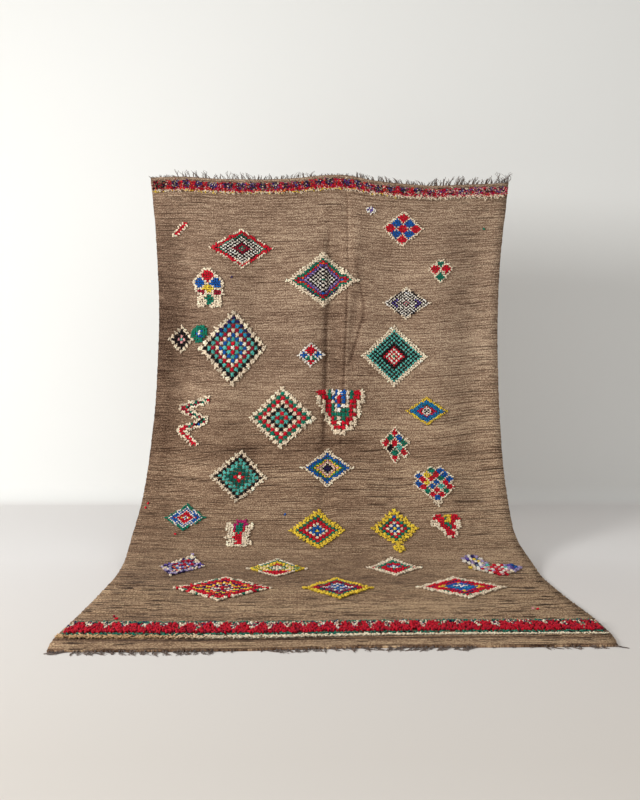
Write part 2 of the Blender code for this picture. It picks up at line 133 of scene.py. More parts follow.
# Lines of painted shade along the fold edges, with negative changes, and of painted highlight on their lit
# lips, with positive ones; the wool is bumped along them as well.
CREASE_SHADES = (
    # across0, down0, across1, down1, half width, change of tone
    (-0.002, 0.16, -0.010, 0.66, 0.008, -0.10), (-0.010, 0.58, -0.014, 1.20, 0.010, -0.20),
    (0.000, 0.60, -0.002, 1.20, 0.009, 0.10), (0.082, 0.06, 0.094, 0.44, 0.005, -0.14),
    (0.092, 0.08, 0.104, 0.42, 0.006, 0.10), (0.094, 0.40, 0.066, 1.26, 0.006, -0.22),
    (0.104, 0.42, 0.077, 1.24, 0.008, 0.12), (0.124, 0.34, 0.172, 0.56, 0.006, -0.14),
    (0.172, 0.52, 0.168, 0.65, 0.009, -0.22), (0.170, 0.61, 0.104, 0.83, 0.008, -0.26),
)
COLUMN_STRETCHES = ((-1.0, -0.825), (-0.40, -0.05), (0.40, 0.190), (1.0, 0.825))
COLUMN_COUNT = 48
CREASE_SPREAD = 1.7
CREASE_FADE = 0.16


def smoothstep(value):
    t = np.clip(value, 0.0, 1.0)
    return t * t * (3 - 2 * t)


def read_table(place, places, values):
    slopes = np.gradient(values, places)
    row = np.clip(np.searchsorted(places, place) - 1, 0, len(places) - 2)
    span = places[row + 1] - places[row]
    t = np.clip((place - places[row]) / span, 0.0, 1.0)
    curve = values[row] * (1 + 2 * t) * (1 - t) ** 2 + values[row + 1] * t * t * (3 - 2 * t)
    return curve + span * (slopes[row] * t * (1 - t) ** 2 + slopes[row + 1] * t * t * (t - 1))


def side_profile():
    down = np.arange(0.0, RUG_LENGTH + 0.002, 0.001)
    through_bend = np.clip((down - HANG_LENGTH) / BEND_LENGTH, 0.0, 1.0)
    lean = math.pi / 2 * (1 - through_bend) ** BEND_POWER
    middle = (lean[1:] + lean[:-1]) / 2
    reach = np.concatenate(([0.0], np.cumsum(np.cos(middle)) * 0.001))
    drop = np.concatenate(([0.0], np.cumsum(np.sin(middle)) * 0.001))
    return down, lean, reach, drop[-1] - drop + CLOTH_THICKNESS / 2


PROFILE_DOWN, PROFILE_LEAN, PROFILE_REACH, PROFILE_HEIGHT = side_profile()


def middle_of_cloth(across, down):
    lean = np.interp(down, PROFILE_DOWN, PROFILE_LEAN)
    past_top = np.minimum(down, 0.0)
    past_foot = np.maximum(down - RUG_LENGTH, 0.0)
    width = read_table(down, WIDTHS[:, 0], WIDTHS[:, 1])
    drift = read_table(down, WIDTHS[:, 0], WIDTHS[:, 2])
    rise = read_table(across, TOP_EDGE[:, 0], TOP_EDGE[:, 1]) * np.exp(-np.maximum(down, 0) / TOP_EDGE_FADE)
    rise = rise * smoothstep((HANG_LENGTH - down) / HANG_LENGTH * 2)
    depth = np.zeros_like(across)
    for across0, down0, across1, down1, half_width, deep, squareness in FOLDS:
        along = (down - down0) / (down1 - down0)
        sideways = np.abs(across - across0 - (across1 - across0) * along) / half_width
        fade = smoothstep(np.minimum(down - down0, down1 - down) / FOLD_END_FADE + 0.5)
        depth += deep * fade * np.exp(-sideways ** squareness)
    x = MIDDLE_X + drift + across * width / RUG_WIDTH
    askew = read_table(across, FOOT_EDGE[:, 0], FOOT_EDGE[:, 1])
    askew = askew * smoothstep(1 - (RUG_LENGTH - down) / FOOT_EDGE_FADE)
    trim = read_table(across, FOOT_TRIM[:, 0], FOOT_TRIM[:, 1])
    trim = trim * smoothstep((down - TRIM_START) / (RUG_LENGTH - TRIM_START))
    y = TOP_EDGE_Y - np.interp(down, PROFILE_DOWN, PROFILE_REACH) - past_foot - askew + trim
    y = y + depth * np.sin(lean)
    z = np.interp(down, PROFILE_DOWN, PROFILE_HEIGHT) - past_top + rise - depth * np.cos(lean)
    return np.stack((x, y, z), axis=-1)


def hang(across, down, lift):
    step = 0.004
    sideways = middle_of_cloth(across + step, down) - middle_of_cloth(across - step, down)
    onward = middle_of_cloth(across, down + step) - middle_of_cloth(across, down - step)
    facing = np.cross(onward, sideways)
    facing /= np.linalg.norm(facing, axis=-1, keepdims=True)
    return middle_of_cloth(across, down) + facing * lift[:, None]


def patches(x, y, seed):
    lattice = np.random.default_rng(seed).random((128, 1024))
    column = np.floor(x).astype(int)
    row = np.floor(y).astype(int)
    a = smoothstep(x - column)
    b = smoothstep(y - row)
    column, row = column % 127, row % 1023
    near = lattice[column, row] * (1 - a) + lattice[column + 1, row] * a
    far = lattice[column, row + 1] * (1 - a) + lattice[column + 1, row + 1] * a
    return near * (1 - b) + far * b


def read_points(mesh):
    points = np.empty(len(mesh.vertices) * 3, dtype=np.float32)
    mesh.vertices.foreach_get("co", points)
    return points.reshape(-1, 3).astype(float)


def add_piece(bm_or_mesh, name):
    mesh = bm_or_mesh
    if isinstance(bm_or_mesh, bmesh.types.BMesh):
        mesh = bpy.data.meshes.new(name)
        bm_or_mesh.to_mesh(mesh)
        bm_or_mesh.free()
    piece = bpy.data.objects.new(name, mesh)
    bpy.context.collection.objects.link(piece)
    mesh.shade_smooth()
    return piece


def grown(down, growth):
    return sum(share * smoothstep((down - start) / over) for start, over, share in growth)


def weave_ground():
    row_count = round(RUG_LENGTH / ROW_PITCH) * POINTS_A_ROW
    bm = bmesh.new()
    bmesh.ops.create_grid(bm, x_segments=COLUMN_COUNT, y_segments=row_count, size=1.0)
    made = bmesh.ops.extrude_face_region(bm, geom=bm.faces[:])
    for item in made["geom"]:
        if isinstance(item, bmesh.types.BMVert):
            item.co.z = 1.0
    bmesh.ops.recalc_face_normals(bm, faces=bm.faces[:])
    piece = add_piece(bm, "woven_ground")
    mesh = piece.data
    flat = read_points(mesh)
    marks = np.array(COLUMN_STRETCHES)
    across = np.interp(flat[:, 0], marks[:, 0], marks[:, 1])
    down = (1 - flat[:, 1]) / 2 * RUG_LENGTH
    face_side = flat[:, 2] > 0.5
    row_rise = np.zeros_like(across)
    for from_across, to_across, rise, start, end in ROW_DRIFT:
        sideways = smoothstep((across - from_across) / (to_across - from_across))
        row_rise += rise * sideways * smoothstep((down - start) / 0.25) * smoothstep((end - down) / 0.35)
    wander = row_rise / ROW_PITCH + ROW_WANDER * (patches(across * 2.2 + 9, down * 5.0, 1) - 0.5)
    wander += ROW_RIPPLE * (patches(across * 9.0 + 9, down * 14.0, 2) - 0.5)
    counted = down / ROW_PITCH + wander * smoothstep(np.minimum(down, RUG_LENGTH - down) / 0.1)
    round_of_row = np.abs(np.sin(math.pi * counted))
    strength = ROW_STRENGTH[0] + ROW_STRENGTH[1] * patches(across * 7.0 + 9, counted * 1.0, 3)
    relief = ROW_HEIGHT * strength * round_of_row
    at_sides = smoothstep((np.abs(across) - 0.48) / 0.25)
    loose = GAP_SHARE + grown(down, GAP_GROWTH) + GAP_SIDES * at_sides * smoothstep((down - 0.12) / 0.3)
    row_number = np.floor(counted + 0.5)
    parted = patches(across * 6.5 + 9, row_number * 1.7, 4)
    parted = smoothstep((parted - 1 + loose) / 0.10) * smoothstep(1 - round_of_row / 0.62)
    relief -= GAP_DEPTH * parted
    slack = SLIT_SHARE + grown(down, SLIT_GROWTH) + SLIT_SIDES * at_sides * smoothstep((down - 1.3) / 0.4)
    slit_counted = (down + row_rise) / SLIT_PITCH + 1.3 * (patches(across * 3.0 + 9, down * 9.0, 7) - 0.5)
    slit_number = np.floor(slit_counted)
    through_slit = (slit_counted - slit_number - 0.5) * SLIT_PITCH
    slit = patches(across * 9.0 + 40, slit_number * 1.7, 8)
    slit = smoothstep((slit - 1 + slack) / 0.08)
    slit_width = SLIT_WIDTH * (1 + FLOOR_WIDENING * smoothstep((down - 1.9) / 0.3))
    relief += SLIT_DEPTH * slit * LIP_SHARE * np.exp(-((through_slit - LIP_PLACE) / LIP_WIDTH) ** 2)
    slit = slit * np.exp(-(through_slit / slit_width) ** 2)
    relief -= SLIT_DEPTH * slit
    parted = np.maximum(parted, slit)
    wobble = (patches(across * 0 + 3, counted * 1.0, 5) - 0.5) * SELVEDGE_WOBBLE
    edge = smoothstep((np.abs(across) - 0.70) / 0.125)
    hung_across = across + np.sign(across) * wobble * edge
    lift = np.where(face_side, CLOTH_THICKNESS / 2 + relief - ROW_HEIGHT / 2, -CLOTH_THICKNESS / 2)
    hung = hang(hung_across, down, lift)
    hung[~face_side, 2] = np.maximum(hung[~face_side, 2], 0.0)
    mesh.vertices.foreach_set("co", hung.astype(np.float32).ravel())
    corner = np.empty(len(mesh.loops), dtype=np.int32)
    mesh.loops.foreach_get("vertex_index", corner)
    weave = mesh.uv_layers.new(name="rug_measure")
    measure = np.stack((across[corner], (down + row_rise)[corner]), axis=-1)
    weave.data.foreach_set("uv", measure.astype(np.float32).ravel())
    floor_share = smoothstep((down - 1.75) / 0.45)
    # Painted shadow: how much of the rows shows dark cracks, most on the floor part and at the sides.
    crack_shadow_amount = np.clip(0.08 + 0.32 * at_sides + 0.95 * floor_share * (0.70 + 0.30 * at_sides), 0.0, 0.95)
    broken = smoothstep(patches(across * 24.0 + 30, row_number * 1.3, 6) * 2.0 - 0.35)
    # Painted shade in the valleys between the rows.
    valley_shade = (1 - round_of_row) ** 1.5 * broken
    tone = np.zeros_like(across)
    # The patches add painted shade and painted light to the wool's tone.
    for middle_across, middle_down, half_width, half_height, change in TONE_AND_SHADE_PATCHES:
        spread = ((across - middle_across) / half_width) ** 2 + ((down - middle_down) / half_height) ** 2
        tone += change * np.exp(-spread)
    frayed = smoothstep(patches(across * 40 + 50, down * 0, 9) * 2.4 - 0.5)
    tone -= 0.5 * frayed * smoothstep((down - FOOT_HEM) / 0.010)
    # Attributes for the material: painted shade in the row gaps, cracks and valleys, and tone with painted
    # shade and painted light from the patches.
    for name, values in (("row_gap_shade", np.where(face_side, parted, 0.0)),
                         ("crack_shadow_share", np.where(face_side, crack_shadow_amount, 0.0)),
                         ("row_valley_shade", valley_shade), ("dye_lot_and_painted_shade", tone)):
        layer = mesh.attributes.new(name, "FLOAT", "POINT")
        layer.data.foreach_set("value", values.astype(np.float32))
    mesh.update()
    return piece


def linear(red, green, blue):
    return tuple((part / 255) ** 2.2 for part in (red, green, blue)) + (1.0,)


def add_node(tree, kind, links=(), **settings):
    node = tree.nodes.new("ShaderNode" + kind)
    for key, value in settings.items():
        setattr(node, key, value)
    for socket, source in dict(links).items():
        if isinstance(source, bpy.types.NodeSocket):
            tree.links.new(source, node.inputs[socket])
        else:
            node.inputs[socket].default_value = source
    return node


def calculated(tree, kind, *values):
    return add_node(tree, "Math", dict(enumerate(values)), operation=kind).outputs[0]


def ranged(tree, source, low, high, start=0.0, end=1.0, **settings):
    """Turn the range from low to high into the range from start to end, and hold it there."""
    return add_node(tree, "MapRange", {
        "Value": source, "From Min": low, "From Max": high, "To Min": start, "To Max": end},
        clamp=True, **settings).outputs[0]


def mixed(tree, factor, first, second, **settings):
    return add_node(tree, "Mix", {"Factor": factor, "A": first, "B": second},
                    data_type="RGBA", **settings).outputs["Result"]


def bumped(tree, height, strength, distance, before=None):
    links = {"Strength": strength, "Distance": distance, "Height": height}
    if before is not None:
        links["Normal"] = before
    return add_node(tree, "Bump", links).outputs[0]


def new_material(name, finish):
    material = bpy.data.materials.new(name)
    material.use_nodes = True
    shader = material.node_tree.nodes["Principled BSDF"]
    for socket, value in finish.items():
        shader.inputs[socket].default_value = value
    return material, material.node_tree, shader


def build_spun_wool():
    """Hand-spun wool: flecks of lighter and darker hair and a fine fuzzy surface."""
    group = bpy.data.node_groups.new("spun_wool", "ShaderNodeTree")
    group.interface.new_socket("Vector", in_out="INPUT", socket_type="NodeSocketVector")
    size = group.interface.new_socket("Fleck Size", in_out="INPUT", socket_type="NodeSocketFloat")
    size.default_value = 400.0
    for name in ("Fleck", "Height"):
        group.interface.new_socket(name, in_out="OUTPUT", socket_type="NodeSocketFloat")
    enter = group.nodes.new("NodeGroupInput").outputs
    leave = group.nodes.new("NodeGroupOutput").inputs
    noise = add_node(group, "TexNoise", {
        "Vector": enter["Vector"], "Scale": enter["Fleck Size"], "Detail": 2.0, "Roughness": 0.7})
    fleck = ranged(group, noise.outputs["Fac"], 0.3, 0.7)
    hairs = add_node(group, "TexVoronoi", {
        "Vector": enter["Vector"], "Scale": calculated(group, "MULTIPLY", enter["Fleck Size"], 2.3)},
        feature="F1")
    group.links.new(fleck, leave["Fleck"])
    group.links.new(calculated(group, "SUBTRACT", fleck, hairs.outputs["Distance"]), leave["Height"])
    return group


SPUN_WOOL = build_spun_wool()


def heathered_wool():
    """Undyed grey-brown wool in rows: flecks and slow bands of tone, with painted shade and painted light in
    patches, painted shade and highlights along the creases, and painted shade in the gaps, cracks and row
    valleys.
    """
    material, tree, shader = new_material("heathered_grey_brown_wool", {
        "Roughness": 0.95, "Sheen Weight": 0.04, "Sheen Roughness": 0.6, "Specular IOR Level": 0.08})
    measure = add_node(tree, "UVMap", uv_map="rug_measure").outputs[0]

    def stretched_noise(across_scale, down_scale, detail):
        place = add_node(tree, "Mapping", {"Vector": measure, "Scale": (across_scale, down_scale, 1.0)})
        return add_node(tree, "TexNoise", {
            "Vector": place.outputs[0], "Scale": 1.0, "Detail": detail, "Roughness": 0.62}).outputs["Fac"]

    def attribute(name):
        return add_node(tree, "Attribute", attribute_name=name).outputs["Fac"]

    place = add_node(tree, "SeparateXYZ", {0: measure})
    # Painted shade and painted highlight along the creases.
    crease_shade = 0.0
    for across0, down0, across1, down1, half_width, change in CREASE_SHADES:
        along = ranged(tree, place.outputs["Y"], down0, down1)
        middle = calculated(tree, "MULTIPLY_ADD", along, across1 - across0, across0)
        aside = calculated(tree, "ABSOLUTE", calculated(tree, "SUBTRACT", place.outputs["X"], middle))
        line = ranged(tree, aside, 0.0, CREASE_SPREAD * half_width, 1.0, 0.0,
                      interpolation_type="SMOOTHSTEP")
        ends = ranged(tree, calculated(tree, "PINGPONG", along, 0.5), 0.0, CREASE_FADE)
        line = calculated(tree, "MULTIPLY", line, ends)
        crease_shade = calculated(tree, "MULTIPLY_ADD", line, change, crease_shade)

    threads = stretched_noise(26.0, 330.0, 2.0)
    wool = add_node(tree, "Group", {"Vector": measure, "Fleck Size": 330.0}, node_tree=SPUN_WOOL)
    # Painted shadow in thin broken cracks along the rows.
    crack_shadow = ranged(tree, stretched_noise(9.0, 80.0, 2.0), 0.565, 0.605)
    crack_shadow = calculated(tree, "MULTIPLY", crack_shadow, attribute("crack_shadow_share"))
    dark = calculated(tree, "MAXIMUM", crack_shadow, attribute("row_gap_shade"))
    # Painted shade and painted light join the tone here, from the row valleys, the patches and the creases.
    tone = -0.515
    for source, share in (
            (ranged(tree, stretched_noise(170.0, 230.0, 1.0), 0.34, 0.66), 0.54),
            (ranged(tree, stretched_noise(36.0, 120.0, 2.0), 0.30, 0.70), 0.25),
            (stretched_noise(9.0, 84.0, 4.0), 0.50), (threads, 0.20),
            (stretched_noise(0.8, 7.0, 3.0), 0.55), (wool.outputs["Fleck"], 0.24),
            (attribute("row_valley_shade"), -0.46), (attribute("dye_lot_and_painted_shade"), 1.0), (crease_shade, 1.0)):
        tone = calculated(tree, "MULTIPLY_ADD", source, share, tone)
    shade = add_node(tree, "ValToRGB", {"Fac": tone})
    ramp = shade.color_ramp
    ramp.elements[0].color = linear(58, 40, 29)
    ramp.elements[1].color = linear(203, 177, 145)
    ramp.elements.new(0.55).color = linear(132, 106, 85)
    # The row gaps and cracks are darkened as painted shade.
    darker = mixed(tree, dark, shade.outputs["Color"], linear(48, 32, 22))
    towards_foot = ranged(tree, place.outputs["Y"], 0.75, 2.2)
    warmth = mixed(tree, towards_foot, (0.99, 1.012, 1.09, 1.0), (0.99, 0.94, 0.87, 1.0))
    warmed = mixed(tree, 1.0, darker, warmth, blend_type="MULTIPLY")
    tree.links.new(warmed, shader.inputs["Base Color"])
    relief = bumped(tree, wool.outputs["Height"], 0.5, 0.0015)
    relief = bumped(tree, threads, 0.45, 0.002, relief)
    relief = bumped(tree, crease_shade, 0.6, 0.010, relief)
    tree.links.new(relief, shader.inputs["Normal"])
    return material


def finish_piece(piece, material, node=None):
    """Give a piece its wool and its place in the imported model."""
    piece.data.materials.append(material)
    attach(piece, "root")
    if node:
        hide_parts(node)


ground = weave_ground()
finish_piece(ground, heathered_wool(), "ground_cloth")


# Knotted figures: short bundles of dyed wool yarn, tied row by row into the ground and cut.
# Each figure is charted from its rim to its heart, one letter to a knot, and its rim of undyed
# knots is left longer and looser. One joined mesh stands for each figure.
KNOT_HEIGHT = 0.0100
YARN_SIDES = 5
AREA_AN_END = 0.000040
LEANS = {"leaning_patch_left": -0.35}
LATTICE_LINE = 0.80
LATTICE_RIM = 1.16
DYES = {
    "c": (240, 220, 192), "w": (242, 232, 218), "r": (204, 20, 46), "R": (150, 20, 50),
    "g": (16, 120, 96), "G": (72, 128, 104), "t": (88, 178, 165), "k": (26, 20, 26),
    "b": (24, 90, 168), "n": (44, 34, 84), "y": (236, 200, 66), "o": (230, 98, 52),
    "p": (96, 76, 156), "i": (226, 160, 160), "a": (112, 128, 146), "m": (176, 36, 100),
    "u": (40, 146, 180), "d": (16, 98, 86), "l": (168, 150, 190), "e": (150, 118, 92),
}
FIGURES = (
    # node, slot, across, down, half width, half height, knots in a half width and height, chart
    # A string gives rings from the rim inwards, "/" parts a ring from top to bottom, and rows of
    # text give each knot or, with a grid size, each lozenge of a lattice.
    ("slash_upper_left", "cream_pile", -0.710, 0.224, 0.038, 0.030, None,
     (".....crr", "....crrc", "...crrc.", "..crrc..", ".crrc...", "crrc....", "cc......")),
    ("diamond_upper_left", "red_pile", -0.417, 0.304, 0.154, 0.086, (14, 12),
     "c r r/r/cr g/gk/kw kw kw kw kw kw R R g i"),
    ("five_blobs_upper_right", "blue_pile", 0.349, 0.203, 0.094, 0.074, (12, 10),
     ("..r..", ".b.b.", "r.r.r", ".b.b.", "..r..")),
    ("speck_upper_right", "purple_pile", 0.194, 0.133, 0.023, 0.018, None,
     ("...w...", ".wpwpw.", "wpwppww", ".wwpww.", "...w...")),
    ("diamond_upper_middle", "red_pile", -0.030, 0.450, 0.175, 0.119, (15, 13),
     "c c c g/g/gn gr rRo p/pb pl kw kw kw kw kg gw gR"),
    ("lantern_left", "blue_pile", -0.581, 0.482, 0.072, 0.086, None,
     (".....ccc.....", "....crrrc....", "...crrrrrc...", "..ccrrrrrcc..", ".cbbcrrrcbbc.",
      "cbbbbcrcbbbbc", "cbbbbccbbbbbc", ".cbbcyyycbbbc", ".cccyyyyyccc.", ".cRRRcyycRRRc",
      "..ccRccccRRRc", "...cccggcccc.", "..cccggggccc.", "..ccccgggccc.", "..ccccggcccc.",
      "..ccc..ccccc.")),
    ("clover_right", "green_pile", 0.536, 0.399, 0.054, 0.053, None,
     (".....ccc.....", "....cgggc....", "..cccgggccc..", ".crrrcgcrrrc.", "crrrrrcrrrrrc",
      "crrrrrcrrrrrc", ".crrrccccrrc.", "..crccgccrc..", "...ccgggcc...", "...cgggggc...",
      "....cgggc....", ".....cgc.....", "......c......")),
    ("diamond_purple_right", "purple_pile", 0.380, 0.543, 0.114, 0.073, (12, 10),
     "c kw kw kw kw kp kw kw kw kw kw gi g"),
    ("patch_dark_left", "black_pile", -0.716, 0.714, 0.062, 0.058, (4, 4), "c ck k i t"),
    ("patch_green_left", "green_pile", -0.624, 0.690, 0.038, 0.036, None,
     ("..gggg.", ".gggggg", "gggwbgg", "ggbwggg", "gggbbg.", ".gggg..", "..ggg..")),
    ("diamond_blue_left", "blue_pile", -0.462, 0.752, 0.155, 0.165, (8, 8),
     "c n/k/k u/t/t R/R/r c b u/t/t r w"),
    ("diamond_middle_small", "red_pile", -0.083, 0.784, 0.059, 0.052, None,
     (".....w.....", "....wrw....", "...wrrrw...", "..wrrrrrw..", ".wbwrrrwbw.", "wbbbwrwbbbw",
      ".wbwgwgwbw.", "..wggwggw..", "...wrrrw...", "....wrw....", ".....w.....")),
    ("diamond_teal_right", "teal_pile", 0.323, 0.787, 0.157, 0.138, (13, 13),
     "c c nt/kt/kt kt kt kt kt kt k rR rw r gc g"),
    ("zigzag_left", "red_pile", -0.638, 1.082, 0.073, 0.110, None,
     ("...........cc", "........cccgr", "....cccgRkgcc", ".cccRgkRccc..", "cRrgkccc.....",
      "cRRrcc.......", ".ccRRgcc.....", "...ccRkgcc...", "......ccgRccc", "........cckgc",
      ".......cckgRc", "....ccgRkbcc.", ".ccrRgrccc...", "crrrccc......", "crrcc........",
      ".crrcc.......", "..ccrrc......", "....crrc.....", ".....crrc....", "......crrc...")),
    ("diamond_green_left", "green_pile", -0.214, 1.069, 0.153, 0.135, (7, 7), "c g r c k t r d"),
    ("shield_middle", "blue_pile", 0.063, 1.044, 0.110, 0.096, None,
     ("rrcgwbwbcgrrc", "crrgbwrbwgrrc", "ccrrcbrbcrrcc", ".crrgwbwcrrc.", ".crrgcwggrcc.",
      "..crgggggrrc.", "..ccrgcgrrc..", "...crrcrrcc..", "....crrrcc...", ".....ccc.....")),
    ("diamond_yellow_right", "yellow_pile", 0.476, 1.038, 0.097, 0.064, (12, 10),
     "y y bu bu bu g/bu/b r rw wkwk kw kw"),
    ("patch_right", "green_pile", 0.324, 1.195, 0.067, 0.082, (8, 9),
     ("..r..", ".g.b.", "r.r.g", ".k.t.", "..g.r", "..r..")),
    ("diamond_teal_left", "teal_pile", -0.400, 1.345, 0.125, 0.121, (7, 7), "c k t t/td d d r c"),
    ("diamond_blue_middle", "blue_pile", 0.008, 1.302, 0.122, 0.088, (10, 9),
     "c c b b g y i c kc kn nb"),
    ("fan_right", "red_pile", 0.506, 1.398, 0.100, 0.100, (12, 12),
     ("...g.b...", "b.y.r.b..", ".r.r.g.b.", "b.y.b.r..", ".r.b.t.r.", "..g.r.g..", "...r.r...",
      "....b....", "....c....")),
    ("lozenge_green_left", "green_pile", -0.612, 1.558, 0.090, 0.075, (11, 9),
     "g gw bw b rw r r yw b"),
    ("hourglass_left", "red_pile", -0.367, 1.659, 0.056, 0.083, None,
     ("....mmmm...", "cc.mmggmm.c", "cccmgggmccc", "cccmgggrccc", ".ccrgggrcc.", ".cccrgrccc.",
      ".cccrrrccc.", "cccrrrrcc..", "..ccrrrccc.", ".ccccrrcccc", ".cccrrrcccc", ".cccccccc..")),
    ("diamond_yellow_middle", "yellow_pile", -0.029, 1.634, 0.117, 0.124, (8, 8),
     "y y g r r c b b y"),
    ("diamond_tailed_right", "yellow_pile", 0.308, 1.649, 0.097, 0.138, None,
     ("......y......", ".....yyy.....", "....yybyy....", "...yygrgyy...", "..yygrcrgyy..",
      ".yygrcbcrgyy.", "yygrcbybcrgyy", ".yygrcbcrgyy.", "..yygrcrgyy..", "...yygrgyy...",
      "....yygyy....", ".....yyy.....", "......y......", ".....yyy.....", ".....yyy.....",
      "......y......")),
    ("heart_right", "red_pile", 0.533, 1.612, 0.063, 0.067, None,
     (".crrr.yyyrrr.", ".rrrrrgyyrrrr", "cccrrryyyrrcc", "ccccrrggrrccc", "ccccrrrggrrcc",
      "...ccrrrgrrc.", "....ccrrrcc..", ".....crrrrc..", ".....crrrrc..", "......ccrc...")),
    ("leaning_patch_left", "purple_pile", -0.582, 1.922, 0.086, 0.116, (8, 9),
     "lnl/lcp/clc lnc ncl alR cnr lRo anb lcr oRl nlc"),
    ("lozenge_low_left", "green_pile", -0.203, 1.950, 0.118, 0.101, (9, 8),
     "c g/yg/r y/yg/r r/yc/r r/cg/r cy/c/r c"),
    ("lozenge_low_right", "green_pile", 0.261, 1.938, 0.107, 0.098, (9, 8),
     "c c g/gr/r rrg r/r/rR rgb awt w"),
    ("patch_far_right", "blue_pile", 0.656, 1.926, 0.107, 0.104, None,
     (".lwnl...........", "lpwyaw..........", "wnlwyl..........", ".wlnwcl.........",
      "..cawlt.rcrlpb..", ".ycwlcirirwtlpbl", "..cwrlcwrirwlpl.", "....cwrlrrwicl..",
      "......crrwrc....", "........rir.....")),
    ("diamond_floor_left", "red_pile", -0.392, 2.230, 0.179, 0.163, (15, 11),
     "c crg r rRr yno rny ncy nrn crn r r"),
    ("diamond_floor_middle", "yellow_pile", 0.029, 2.226, 0.127, 0.144, (12, 10),
     "y y gR Rrn RaR awR ab awb b"),
    ("diamond_floor_right", "blue_pile", 0.481, 2.220, 0.162, 0.153, (14, 11),
     "c c/c/c rrg/r/rrg r rn ryr yb b ubw b w"),
)


def yarn_end():
    """One cut yarn end of unit height: a soft post that swells and closes at its tip."""
    bm = bmesh.new()
    bmesh.ops.create_cone(bm, cap_ends=True, segments=YARN_SIDES, radius1=0.70, radius2=1.05, depth=0.70)
    bmesh.ops.translate(bm, verts=bm.verts[:], vec=(0, 0, 0.35))
    foot = [face for face in bm.faces if face.calc_center_median().z < 0.01]
    tip = max(bm.faces, key=lambda face: face.calc_center_median().z)
    tip = bmesh.ops.extrude_discrete_faces(bm, faces=[tip])["faces"][0]
    bmesh.ops.translate(bm, verts=tip.verts[:], vec=(0, 0, 0.30))
    bmesh.ops.scale(bm, verts=tip.verts[:], vec=(0.62, 0.62, 1.0))
    bmesh.ops.delete(bm, geom=foot, context="FACES_ONLY")
    bmesh.ops.triangulate(bm, faces=bm.faces[:])
    bm.verts.index_update()
    points = np.array([vert.co[:] for vert in bm.verts])
    faces = np.array([[vert.index for vert in face.verts] for face in bm.faces])
    bm.free()
    return points, faces


YARN_POINTS, YARN_FACES = yarn_end()


def ring_dye(rings, i, j, reach, grid):
    """Read one knot's dye from its ring: one letter, two that alternate or more in a mixture."""
    parts = rings[round((1 - reach) * (len(rings) - 1))].split("/")
    part = parts[min(int((j / grid[1] + 1) / 2 * len(parts)), len(parts) - 1)]
    return part[(i + j if len(part) == 2 else 7 * i * i + 5 * j + 3 * i * j) % len(part)]


def lattice_dye(rows, u, v):
    """Find the lozenge of the lattice a knot lies in, or the thin line of undyed knots round it."""
    middle_column = (len(rows[0]) - 1) / 2
    middle_row = (len(rows) - 1) / 2
    nearest = (LATTICE_RIM, ".")
    for r, row in enumerate(rows):
        for c, dye in enumerate(row):
            if dye != ".":
                aside = abs(u * (middle_column + 1) - (c - middle_column))
                above = abs(v * (middle_row + 1) - (r - middle_row))
                nearest = min(nearest, ((aside ** 1.25 + above ** 1.25) ** 0.8, dye))
    return "c" if LATTICE_LINE < nearest[0] < LATTICE_RIM else nearest[1]


def charted_knots(figure):
    """List a figure's knots, with their place across and down, dye and whether they form its rim."""
    node, slot, across, down, half_width, half_height, grid, chart = figure
    dyes = {}
    if grid is None:
        grid = ((len(chart[0]) - 1) / 2, (len(chart) - 1) / 2)
        for row, letters in enumerate(chart):
            for column, dye in enumerate(letters):
                dyes[column - grid[0], row - grid[1]] = dye
    else:
        for i in range(-grid[0], grid[0] + 1):
            for j in range(-grid[1], grid[1] + 1):
                reach = abs(i) / grid[0] + abs(j) / grid[1]
                if not isinstance(chart, str):
                    dyes[i, j] = lattice_dye(chart, i / grid[0], j / grid[1])
                elif reach < 1.001:
                    dyes[i, j] = ring_dye(chart.split(), i, j, reach, grid)
    pitch_across = half_width / (grid[0] + 0.4)
    pitch_down = half_height / (grid[1] + 0.4)
    knots = []
    for (i, j), dye in dyes.items():
        if dye != ".":
            beside = [dyes.get(spot, ".") for spot in ((i - 1, j), (i + 1, j), (i, j - 1), (i, j + 1))]
            aside = LEANS.get(node, 0.0) * half_width * j / grid[1]
            knots.append((across + i * pitch_across + aside, down + j * pitch_down, dye, "." in beside))
    return knots, pitch_across, pitch_down


def tie_yarn(name, root, tip, height, radius, dye):
    """Join many yarn ends into one hung mesh, their dye darkened towards the roots as painted shade. Each
    argument holds one row for each end.
    """
    x, y, z = (YARN_POINTS[:, k][None, :] for k in range(3))
    bent = z ** 1.5
    across = root[:, :1] + radius[:, None] * x + (tip - root)[:, :1] * bent
    down = root[:, 1:] + radius[:, None] * y + (tip - root)[:, 1:] * bent
    lift = CLOTH_THICKNESS / 2 + height[:, None] * z * (1.12 - 0.12 * z * z)
    points = hang(across.ravel(), down.ravel(), lift.ravel())
    points[:, 2] = np.maximum(points[:, 2], 0.001)
    count = len(root)
    offsets = (np.arange(count) * len(YARN_POINTS))[:, None, None]
    faces = (YARN_FACES[None, :, :] + offsets).reshape(-1, 3)
    mesh = bpy.data.meshes.new(name)
    mesh.vertices.add(len(points))
    mesh.vertices.foreach_set("co", points.astype(np.float32).ravel())
    mesh.loops.add(faces.size)
    mesh.loops.foreach_set("vertex_index", faces.astype(np.int32).ravel())
    mesh.polygons.add(len(faces))
    mesh.polygons.foreach_set("loop_start", np.arange(0, faces.size, 3, dtype=np.int32))
    mesh.update()
    mesh.validate()
    # Painted shade: each end's dye darkens towards its root, where the ends crowd together.
    shade = 0.45 + 0.60 * z
    colour = np.ones((count, len(YARN_POINTS), 4))
    colour[:, :, :3] = np.clip(dye[:, None, :] * shade[:, :, None], 0, 1)
    layer = mesh.color_attributes.new("dye", "FLOAT_COLOR", "POINT")
    layer.data.foreach_set("color", colour.astype(np.float32).ravel())
    return add_piece(mesh, name)


